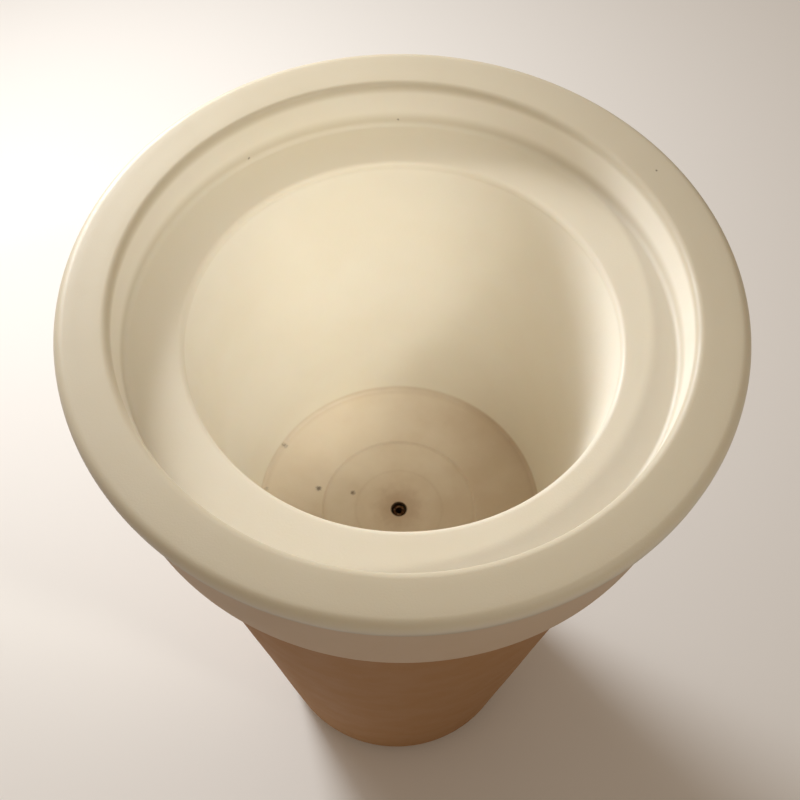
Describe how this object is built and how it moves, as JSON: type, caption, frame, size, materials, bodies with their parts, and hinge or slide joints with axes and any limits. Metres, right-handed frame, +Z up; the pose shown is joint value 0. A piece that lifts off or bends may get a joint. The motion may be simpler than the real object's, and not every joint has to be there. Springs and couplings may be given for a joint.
{
  "type": "large bowl funnel on a hollow stand",
  "caption": "Deep tapered bowl with a rolled rim, inner seat and central drain fitting, lifting out of a hollow tapered stand with a collar. No perforated plate.",
  "frame": {"origin": "centre of the stand's foot, on the surface that it stands on", "axes": "+Z up along the common axis of bowl and stand; the part is round, so X and Y are arbitrary"},
  "size_m": [0.4, 0.4, 0.568],
  "materials": {
    "bowl_plastic": "satin cream moulded plastic, lightly marked",
    "stand_plastic": "satin cream moulded plastic, dustier towards the foot",
    "gasket_rubber": "matt black",
    "fitting_steel": "dull and rust-stained"
  },
  "bodies": {
    "stand": {"stand_shell": "stand_plastic"},
    "bowl": {"funnel_bowl": "bowl_plastic", "outlet_gasket": "gasket_rubber", "outlet_fitting": "fitting_steel"}
  },
  "joints": [
    {"name": "bowl_lift", "type": "slide", "parent": "stand", "child": "bowl", "axis": [0, 0, 1], "range_m": [0, 0.33]}
  ]
}
